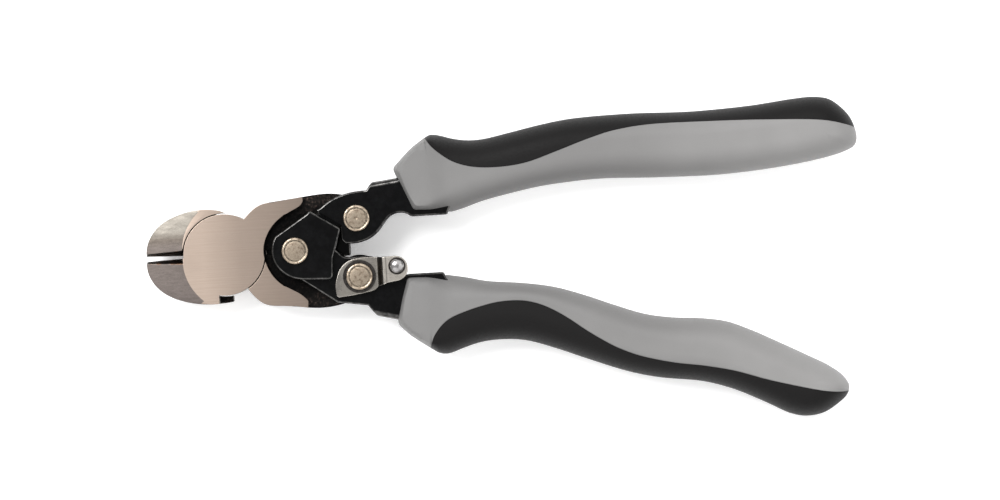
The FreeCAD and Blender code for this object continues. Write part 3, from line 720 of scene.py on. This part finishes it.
class Grip:
    """A grip as lines that run from its outline in to a spine, over a rounded edge."""

    LEVELS_CORE = 16     # points on each ray of the core, and of the overlay
    LEVELS_OVERLAY = 12
    GROOVE = 0.16        # width and depth of the fine line between the two materials, in mm
    NOMINAL_HALF = 9.6   # half thickness used to space the points, in mm
    MARGIN = 0.01        # a fan's rays keep this far from its first and last, in radians

    def __init__(self, outline, spine, split, half, edge_radius):
        self.split = curve_through(split)
        self.half = half                    # half thickness at a place, as a function
        self.edge_radius = edge_radius      # rounding of the edge at a place, as a function
        closed = np.vstack([outline, outline[:1]])
        ends = [index for index in range(len(closed) - 1)
                if self.meets_split(closed[index], closed[index + 1])]
        self.outline = refined(closed, ends)
        spine = curve_through(spine, 1.0)
        ways = np.gradient(spine, axis=0)
        normals = np.stack([-ways[:, 1], ways[:, 0]], 1)
        normals /= np.linalg.norm(normals, axis=1)[:, None]
        one_side = [self.cast(foot, normal) for foot, normal in zip(spine, normals)]
        other_side = [self.cast(foot, -normal) for foot, normal in zip(spine, normals)]
        tail = self.fan(spine[-1], one_side[-1], other_side[-1], ways[-1])
        front = self.fan(spine[0], other_side[0], one_side[0], -ways[0])
        self.rays = one_side + tail + other_side[::-1] + front

    def meets_split(self, start, end):
        """Whether the split crosses this segment of the outline."""
        length = np.linalg.norm(end - start)
        return any(along <= length for along in crossings(start, (end - start) / length,
                                                          self.split))

    def cast(self, foot, way):
        """The ray that leaves a spine point this way."""
        return self.ray(foot, foot + way * crossings(foot, way, self.outline)[0])

    def fan(self, foot, first, last, outward):
        """Rays from an end of the spine to each outline point beyond it, in order round it."""
        def turn(point):
            way = point - foot
            side = outward[0] * way[1] - outward[1] * way[0]
            return math.atan2(side, float(np.dot(outward, way)))
        low, high = sorted((turn(first["from"]), turn(last["from"])))
        inside = [point for point in self.outline[:-1]
                  if low + self.MARGIN < turn(point) < high - self.MARGIN]
        inside.sort(key=turn, reverse=turn(first["from"]) > turn(last["from"]))
        return [self.ray(foot, point) for point in inside]

    def ray(self, foot, point):
        """A line from an outline point to the spine, and where the overlay ends on it."""
        length = float(np.linalg.norm(foot - point))
        way = (foot - point) / length
        split = crossings(point, way, self.split)
        return {"from": point, "way": way, "length": length,
                "radius": min(self.edge_radius(point), 0.96 * length),
                "split": split[0] if split and split[0] < length else 0.0}

    def spot(self, ray, depth, sink=0.0):
        """The surface point this deep from the edge along a ray."""
        x, y = ray["from"] + ray["way"] * depth
        half = self.half(np.array((x, y)))
        share = min(1.0, depth / ray["radius"])
        rise = math.sqrt(max(0.0, 1 - (1 - share) ** 2))
        return (x, y, max(0.0, half * rise - sink))

    def depths(self, ray, low, high, count):
        """Depths evenly spaced along the surface between two depths."""
        fine = np.linspace(low, high, 160)
        radius = ray["radius"]
        share = 1 - np.clip(fine / radius, 0, 1)
        rise = np.sqrt(np.clip(1 - share ** 2, 0, 1)) * self.NOMINAL_HALF
        length = np.concatenate([[0], np.cumsum(np.hypot(np.diff(fine), np.diff(rise)))])
        if length[-1] < 1e-9:
            return [low] * count
        return list(np.interp(np.linspace(0, length[-1], count), length, fine))

    def core_rows(self):
        """For each ray the points of the core's front half, from its rim to the spine."""
        rows = []
        for ray in self.rays:
            start = ray["split"]
            groove = min(self.GROOVE, start)
            depths = self.depths(ray, min(start + groove, ray["length"]), ray["length"],
                                 self.LEVELS_CORE)
            row = [self.spot(ray, start, groove)]
            row += [self.spot(ray, depth) for depth in depths]
            rows.append(row)
        return rows

    def overlay_rows(self):
        """For each covered ray the points of the overlay's front half, from its rim inwards."""
        rows = []
        for ray in self.covered():
            groove = min(self.GROOVE, 0.5 * ray["split"])
            depths = self.depths(ray, 0.0, ray["split"] - groove, self.LEVELS_OVERLAY)
            row = [self.spot(ray, depth) for depth in depths]
            row.append(self.spot(ray, ray["split"], groove))
            rows.append(row)
        return rows

    def covered(self):
        """The rays that the overlay covers, in order, with the bare one next to each end."""
        count = len(self.rays)
        bare = [index for index in range(count) if self.rays[index]["split"] < 1e-6]
        first = next(index for index in bare if (index + 1) % count not in bare)
        turned = self.rays[first:] + self.rays[:first]
        last = next(index for index in range(1, count) if turned[index]["split"] < 1e-6)
        return turned[:last + 1]


def shell_mesh(name, rows, closed, wall_index):
    """Front and rear skins from rows of points, joined by a wall where wall_index points."""
    weld, sliver = 0.012 * MM, 0.004 * MM
    maker = bmesh.new()
    grids = []
    for side in (1, -1):
        grids.append([[maker.verts.new((x * MM, y * MM, MIDDLE + side * z * MM))
                       for x, y, z in row] for row in rows])
    count = len(rows)
    pairs = [(i, (i + 1) % count) for i in range(count if closed else count - 1)]
    for side, grid in enumerate(grids):
        for i, j in pairs:
            for level in range(len(grid[0]) - 1):
                corners = [grid[i][level], grid[j][level], grid[j][level + 1], grid[i][level + 1]]
                maker.faces.new(corners if side else corners[::-1])
    front, rear = grids
    for i, j in pairs:
        maker.faces.new([front[i][wall_index], rear[i][wall_index],
                         rear[j][wall_index], front[j][wall_index]])
    bmesh.ops.remove_doubles(maker, verts=maker.verts, dist=weld)
    bmesh.ops.dissolve_degenerate(maker, edges=maker.edges, dist=sliver)
    holes = [edge for edge in maker.edges if edge.is_boundary]
    if holes:
        bmesh.ops.holes_fill(maker, edges=holes, sides=0)
    bmesh.ops.recalc_face_normals(maker, faces=maker.faces)
    mesh = bpy.data.meshes.new(name)
    maker.to_mesh(mesh)
    maker.free()
    return mesh


GRIP_HALF = (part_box("upper_grip_core")[1].z - MIDDLE) / MM
WAIST_DEPTH, END_DEPTH = 1.0, 0.5        # how much thinner each half is there, in millimetres
END_START, END_STOP = 150.0, 182.0       # where the rear end thins
COLLAR_ROUNDING = 1.6                    # of the edges round the collar
FULLER_BY = 5.6                          # how much more they are rounded along the grip


def build_grip(side, outline, spine, split, collar_end):
    """Both mouldings of one grip."""

    def half(point):
        """A flared collar in front, then a slight waist, and a thinner rear end."""
        waist = blend_step(point[0], collar_end, collar_end + 7) * \
            (1 - blend_step(point[0], collar_end + 12, collar_end + 40))
        end = blend_step(point[0], END_START, END_STOP)
        return GRIP_HALF - WAIST_DEPTH * waist - END_DEPTH * end

    def edge_radius(point):
        """Crisp round the collar, and full along the grip."""
        return COLLAR_ROUNDING + FULLER_BY * blend_step(point[0], collar_end - 1, collar_end + 9)

    grip = Grip(np.array(outline), spine, split, half, edge_radius)
    core = shell_mesh(side + "_core", grip.core_rows(), True, 0)
    overlay = shell_mesh(side + "_overlay", grip.overlay_rows(), False, -1)
    for name, mesh, material in (("core", core, GREY), ("overlay", overlay, BLACK)):
        piece = new_piece(f"{side}_{name}_moulding", mesh, (material,))
        smooth_by_angle(mesh, 38)
        finish_piece(piece, [f"{side}_grip_{name}"])


UPPER_BACK = curve_through((
    (58.3, 29.9), (60.5, 30.95), (63.0, 30.6), (66.2, 29.6), (70.4, 28.8), (75.0, 28.8),
    (83.3, 30.3), (92.0, 32.0), (100.6, 33.2), (117.7, 33.7), (134.8, 33.3), (152.0, 34.0),
    (164.9, 35.3), (170.0, 35.5), (174.5, 34.7), (177.8, 32.3), (180.3, 29.3), (181.7, 25.7),
    (182.0, 22.8), (181.2, 20.9), (178.5, 19.5), (172.4, 17.9), (159.5, 16.0), (142.3, 14.8),
    (125.2, 15.0), (108.1, 15.6), (99.5, 15.2), (90.9, 14.4), (82.3, 12.9), (74.0, 11.1),
    (69.3, 9.6), (65.6, 8.6)))
UPPER_OUTLINE = [*rounded_corner((54.4, 9.5), (49.1, 21.9), (54.0, 26.8), 1.2),
                 (51.5, 24.3), (54.0, 26.8), (56.2, 28.5), *UPPER_BACK,
                 *rounded_corner((65.6, 8.6), (54.4, 9.5), (49.1, 21.9), 0.8),
                 (53.1, 12.5), (51.6, 16.1)]
UPPER_SPINE = ((60.0, 18.4), (70.0, 17.7), (78.0, 18.8), (90.0, 21.0), (100.0, 22.5),
               (117.0, 22.8), (135.0, 22.3), (152.0, 22.9), (165.0, 24.3), (172.5, 25.4))
UPPER_SPLIT = ((56.8, 32.5), (58.6, 30.2), (60.9, 27.1), (63.4, 24.9), (66.3, 22.9), (70.2, 21.4),
               (74.1, 20.7), (78.0, 20.5), (83.0, 20.7), (88.0, 21.5), (96.0, 24.0), (105.0, 27.0),
               (112.0, 28.9), (121.8, 30.1), (138.9, 30.1), (156.0, 29.6), (173.0, 28.4),
               (180.0, 26.6), (184.0, 25.2))

LOWER_BACK = curve_through((
    (62.5, -9.2), (68.1, -10.2), (74.0, -11.6), (85.1, -12.9), (93.6, -14.5), (102.0, -17.3),
    (110.3, -20.6), (118.7, -23.6), (126.0, -25.0), (135.7, -25.9), (142.0, -27.1),
    (148.3, -29.7), (156.6, -33.9), (164.9, -38.3), (170.5, -41.4), (174.4, -44.6),
    (175.9, -47.4), (175.2, -49.8), (172.0, -52.6), (168.2, -54.7), (163.6, -55.4),
    (159.0, -54.5), (151.4, -50.6), (143.0, -46.6), (134.6, -43.9), (121.9, -42.0),
    (113.5, -39.9), (100.9, -35.2), (92.6, -31.9), (84.2, -29.2), (77.0, -28.6), (71.3, -29.1),
    (66.0, -30.6), (62.6, -31.7), (60.0, -31.6), (57.0, -29.8)))
LOWER_OUTLINE = [*rounded_corner((47.9, -20.9), (51.5, -9.2), (62.5, -9.2), 0.8),
                 *LOWER_BACK,
                 (54.3, -27.9), (51.6, -25.9),
                 *rounded_corner((51.6, -25.9), (48.0, -22.4), (49.2, -17.0), 1.8),
                 (49.7, -15.2), (50.7, -12.0)]
LOWER_SPINE = ((58.0, -17.5), (68.0, -16.4), (76.0, -16.6), (84.0, -16.9), (90.0, -18.2),
               (97.5, -21.4), (105.5, -25.4), (116.0, -29.6), (130.0, -33.0), (140.0, -34.9),
               (150.0, -39.4), (158.0, -43.6), (165.5, -46.6))
LOWER_SPLIT = ((57.0, -33.5), (57.4, -29.6), (58.2, -27.0), (60.6, -23.7), (63.2, -21.7),
               (67.6, -20.0), (71.9, -18.8), (76.2, -17.9), (80.5, -17.6), (84.8, -17.9),
               (89.0, -19.1), (93.2, -21.2), (97.3, -23.9), (101.4, -27.0), (105.5, -29.8),
               (109.6, -32.3), (113.8, -34.3), (118.0, -35.8), (126.4, -37.9), (134.9, -39.3),
               (143.3, -41.2), (151.7, -44.0), (160.2, -46.4), (168.6, -48.4), (174.0, -48.9),
               (178.0, -48.6))

build_grip("upper", UPPER_OUTLINE, UPPER_SPINE, UPPER_SPLIT, 58.0)
build_grip("lower", LOWER_OUTLINE, LOWER_SPINE, LOWER_SPLIT, 56.0)


# ---------------------------------------------------------------- studio

def studio():
    """A pale floor under the tool, an even white world, and four soft suns."""
    floor_z = cad_box[0].z
    reach = 1.5
    mesh = bpy.data.meshes.new("floor")
    mesh.from_pydata([(-reach, -reach, floor_z), (reach, -reach, floor_z),
                      (reach, reach, floor_z), (-reach, reach, floor_z)], [], [(0, 1, 2, 3)])
    shader = Shader("pale_floor").set(Roughness=0.9, Specular_IOR_Level=0.1,
                                      Emission_Color=(1.0, 1.0, 1.0, 1.0),
                                      Emission_Strength=0.22)
    shader.link(shader.fade(shader.noise(0.02), ((0.3, 0.95), (0.7, 0.98))), "Base Color")
    new_piece("floor", mesh, (shader.material,))

    world = bpy.data.worlds.new("studio")
    world.use_nodes = True
    background = world.node_tree.nodes["Background"]
    background.inputs["Color"].default_value = (1.0, 1.0, 1.0, 1.0)
    background.inputs["Strength"].default_value = 0.525
    bpy.context.scene.world = world

    suns = (("key", 132.0, 53.0, 34.0, 3.4), ("fill_right", -20.0, 42.0, 60.0, 1.0),
            ("fill_below", -110.0, 42.0, 60.0, 1.0), ("fill_above", 60.0, 45.0, 60.0, 0.75))
    for name, heading, height, spread, power in suns:
        light = bpy.data.lights.new(name, "SUN")
        light.angle = math.radians(spread)
        light.energy = power
        lamp = bpy.data.objects.new(name, light)
        lamp.rotation_euler = (0.0, math.radians(90.0 - height), math.radians(heading))
        bpy.context.scene.collection.objects.link(lamp)


def camera():
    """Straight down on the front, with the tool's axis a few degrees off the picture's."""
    view_width = 284.7 * MM
    tilt = math.radians(3.3)
    centre = Vector((78.5 * MM, -3.1 * MM, MIDDLE + 5.0 * MM))
    data = bpy.data.cameras.new("camera")
    data.lens = 200.0
    data.sensor_width = 36.0
    data.clip_end = 20.0
    distance = view_width * data.lens / data.sensor_width
    eye = bpy.data.objects.new("camera", data)
    eye.location = centre + Vector((0, 0, distance))
    eye.rotation_euler = (0.0, 0.0, -tilt)
    bpy.context.scene.collection.objects.link(eye)
    bpy.context.scene.camera = eye


studio()
camera()
bpy.context.scene.view_settings.view_transform = "Standard"
